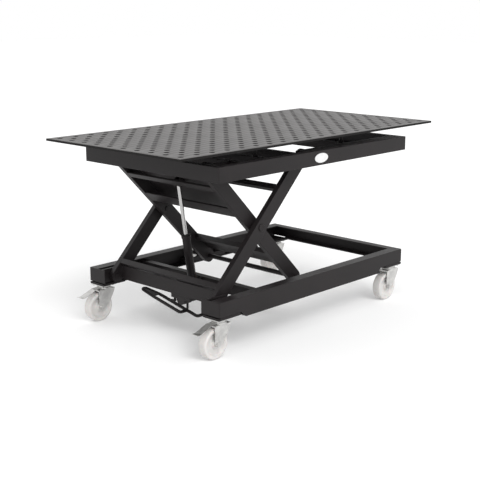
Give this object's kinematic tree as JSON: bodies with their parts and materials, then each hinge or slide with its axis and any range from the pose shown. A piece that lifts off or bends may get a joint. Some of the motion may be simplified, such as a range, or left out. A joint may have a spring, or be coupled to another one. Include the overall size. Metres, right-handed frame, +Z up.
{
  "type": "mobile scissor-lift assembly table",
  "caption": "Perforated steel assembly table on a foot-pumped hydraulic scissor lift, with channel frames, rollers in guides, and swivel casters with brakes at the pump end.",
  "frame": {"origin": "on the floor under the middle of the table top", "axes": "+X along the table, from the foot pump towards the free end; +Y from the badge side to the rear; +Z up"},
  "size_m": [2, 1, 1.017],
  "materials": {
    "frame_paint": "satin black powder coat",
    "top_steel": "matte blued steel",
    "zinc": "zinc plated",
    "chrome": "ground and chromed",
    "wheel_nylon": "moulded white nylon",
    "badge": "plain white"
  },
  "bodies": {
    "base": {"lower_rail_front": "frame_paint", "lower_rail_rear": "frame_paint", "lower_end_beam": "frame_paint", "lower_end_plate": "frame_paint", "pivot_bracket_front": "frame_paint", "pivot_bracket_rear": "frame_paint", "lower_cross_beam": "frame_paint", "cylinder_foot": "frame_paint", "pump_body": "frame_paint", "pedal_bearing": "frame_paint", "caster_plate_pump_front": "zinc", "caster_plate_pump_rear": "zinc", "caster_plate_free_front": "zinc", "caster_plate_free_rear": "zinc"},
    "outer_legs": {"outer_leg_front": "frame_paint", "outer_leg_rear": "frame_paint", "outer_leg_tube_lower": "frame_paint", "outer_leg_tube_upper": "frame_paint"},
    "inner_legs": {"inner_leg_front": "frame_paint", "inner_leg_rear": "frame_paint", "inner_leg_tube_upper": "frame_paint", "inner_leg_tube_lower": "frame_paint", "inner_leg_web_plate": "frame_paint", "inner_leg_foot_plate": "frame_paint", "rod_lug": "frame_paint", "lower_roller_axle": "frame_paint"},
    "deck": {"upper_rail_front": "frame_paint", "upper_rail_rear": "frame_paint", "roller_guide_front": "frame_paint", "roller_guide_rear": "frame_paint", "upper_end_beam_pump": "frame_paint", "upper_end_beam_free": "frame_paint", "upper_cross_pump": "frame_paint", "upper_cross_left": "frame_paint", "upper_cross_middle": "frame_paint", "upper_cross_right": "frame_paint", "deck_bracket_front": "frame_paint", "deck_bracket_rear": "frame_paint", "table_top": "top_steel", "badge": "badge"},
    "lower_roller_front": {"lower_roller_front": "zinc"},
    "lower_roller_rear": {"lower_roller_rear": "zinc"},
    "upper_roller_front": {"upper_roller_front": "zinc"},
    "upper_roller_rear": {"upper_roller_rear": "zinc"},
    "cylinder_barrel": {"cylinder_barrel": "frame_paint"},
    "piston_rod": {"piston_rod": "chrome"},
    "pump_pedal": {"pump_pedal": "frame_paint"},
    "pump_plunger": {"pump_plunger": "frame_paint"},
    "release_lever": {"release_lever": "frame_paint"},
    "fork_pump_front": {"caster_fork_pump_front": "zinc"},
    "fork_pump_rear": {"caster_fork_pump_rear": "zinc"},
    "fork_free_front": {"caster_fork_free_front": "zinc"},
    "fork_free_rear": {"caster_fork_free_rear": "zinc"},
    "wheel_pump_front": {"caster_wheel_pump_front": "wheel_nylon"},
    "wheel_pump_rear": {"caster_wheel_pump_rear": "wheel_nylon"},
    "wheel_free_front": {"caster_wheel_free_front": "wheel_nylon"},
    "wheel_free_rear": {"caster_wheel_free_rear": "wheel_nylon"},
    "brake_pump_front": {"caster_brake_pump_front": "zinc"},
    "brake_pump_rear": {"caster_brake_pump_rear": "zinc"}
  },
  "joints": [
    {"name": "lift", "type": "hinge", "parent": "base", "child": "outer_legs", "pos_m": [-0.6675, 0, 0.251], "axis": [0, -1, 0], "range_deg": [-20.3, 1]},
    {"name": "scissor_centre", "type": "hinge", "parent": "outer_legs", "child": "inner_legs", "pos_m": [-0.34298, 0, 0.58123], "axis": [0, -1, 0], "range_deg": [-2.5, 41]},
    {"name": "deck_pivot", "type": "hinge", "parent": "inner_legs", "child": "deck", "pos_m": [-0.6675, 0, 0.91147], "axis": [0, -1, 0], "range_deg": [-20.6, 1.3]},
    {"name": "barrel_pivot", "type": "hinge", "parent": "base", "child": "cylinder_barrel", "pos_m": [-0.45, 0, 0.2], "axis": [0, -1, 0], "range_deg": [-0.5, 0.5]},
    {"name": "rod_pivot", "type": "hinge", "parent": "inner_legs", "child": "piston_rod", "pos_m": [-0.54905, 0, 0.79093], "axis": [0, -1, 0], "range_deg": [-20.4, 1.3]},
    {"name": "lower_roller_front_spin", "type": "hinge", "parent": "inner_legs", "child": "lower_roller_front", "pos_m": [-0.01846, -0.458, 0.251], "axis": [0, 1, 0], "continuous": true},
    {"name": "lower_roller_rear_spin", "type": "hinge", "parent": "inner_legs", "child": "lower_roller_rear", "pos_m": [-0.01846, 0.458, 0.251], "axis": [0, 1, 0], "continuous": true},
    {"name": "upper_roller_front_spin", "type": "hinge", "parent": "outer_legs", "child": "upper_roller_front", "pos_m": [-0.01846, -0.42, 0.91147], "axis": [0, 1, 0], "continuous": true},
    {"name": "upper_roller_rear_spin", "type": "hinge", "parent": "outer_legs", "child": "upper_roller_rear", "pos_m": [-0.01846, 0.42, 0.91147], "axis": [0, 1, 0], "continuous": true},
    {"name": "pedal_press", "type": "hinge", "parent": "base", "child": "pump_pedal", "pos_m": [-0.49, -0.132, 0.103], "axis": [-1, 0, 0], "range_deg": [0, 18], "stiffness_Nm_per_rad": 20, "springref_deg": -17.19},
    {"name": "plunger_stroke", "type": "slide", "parent": "base", "child": "pump_plunger", "axis": [0, 0, -1], "range_m": [0, 0.023]},
    {"name": "release_turn", "type": "hinge", "parent": "base", "child": "release_lever", "pos_m": [-0.59, -0.0137, 0.224], "axis": [0, 1, 0], "range_deg": [0, 25], "stiffness_Nm_per_rad": 1, "springref_deg": -11.46},
    {"name": "swivel_pump_front", "type": "hinge", "parent": "base", "child": "fork_pump_front", "pos_m": [-0.704, -0.443, 0.185], "axis": [0, 0, 1], "continuous": true},
    {"name": "swivel_pump_rear", "type": "hinge", "parent": "base", "child": "fork_pump_rear", "pos_m": [-0.704, 0.443, 0.185], "axis": [0, 0, 1], "continuous": true},
    {"name": "swivel_free_front", "type": "hinge", "parent": "base", "child": "fork_free_front", "pos_m": [0.704, -0.443, 0.185], "axis": [0, 0, 1], "continuous": true},
    {"name": "swivel_free_rear", "type": "hinge", "parent": "base", "child": "fork_free_rear", "pos_m": [0.704, 0.443, 0.185], "axis": [0, 0, 1], "continuous": true},
    {"name": "roll_pump_front", "type": "hinge", "parent": "fork_pump_front", "child": "wheel_pump_front", "pos_m": [-0.746, -0.443, 0.07932], "axis": [0, 1, 0], "continuous": true},
    {"name": "roll_pump_rear", "type": "hinge", "parent": "fork_pump_rear", "child": "wheel_pump_rear", "pos_m": [-0.746, 0.443, 0.07932], "axis": [0, 1, 0], "continuous": true},
    {"name": "roll_free_front", "type": "hinge", "parent": "fork_free_front", "child": "wheel_free_front", "pos_m": [0.662, -0.443, 0.07932], "axis": [0, 1, 0], "continuous": true},
    {"name": "roll_free_rear", "type": "hinge", "parent": "fork_free_rear", "child": "wheel_free_rear", "pos_m": [0.662, 0.443, 0.07932], "axis": [0, 1, 0], "continuous": true},
    {"name": "brake_front", "type": "hinge", "parent": "fork_pump_front", "child": "brake_pump_front", "pos_m": [-0.75, -0.443, 0.181], "axis": [0, -1, 0], "range_deg": [0, 8]},
    {"name": "brake_rear", "type": "hinge", "parent": "fork_pump_rear", "child": "brake_pump_rear", "pos_m": [-0.75, 0.443, 0.181], "axis": [0, -1, 0], "range_deg": [0, 8]}
  ],
  "couplings": [
    {"joint": "scissor_centre", "follows": "lift", "ratio": -2},
    {"joint": "deck_pivot", "follows": "lift", "ratio": 1},
    {"joint": "barrel_pivot", "follows": "lift", "ratio": 0.002},
    {"joint": "rod_pivot", "follows": "lift", "ratio": 1.002},
    {"joint": "plunger_stroke", "follows": "pedal_press", "m_per_rad": 0.073}
  ]
}
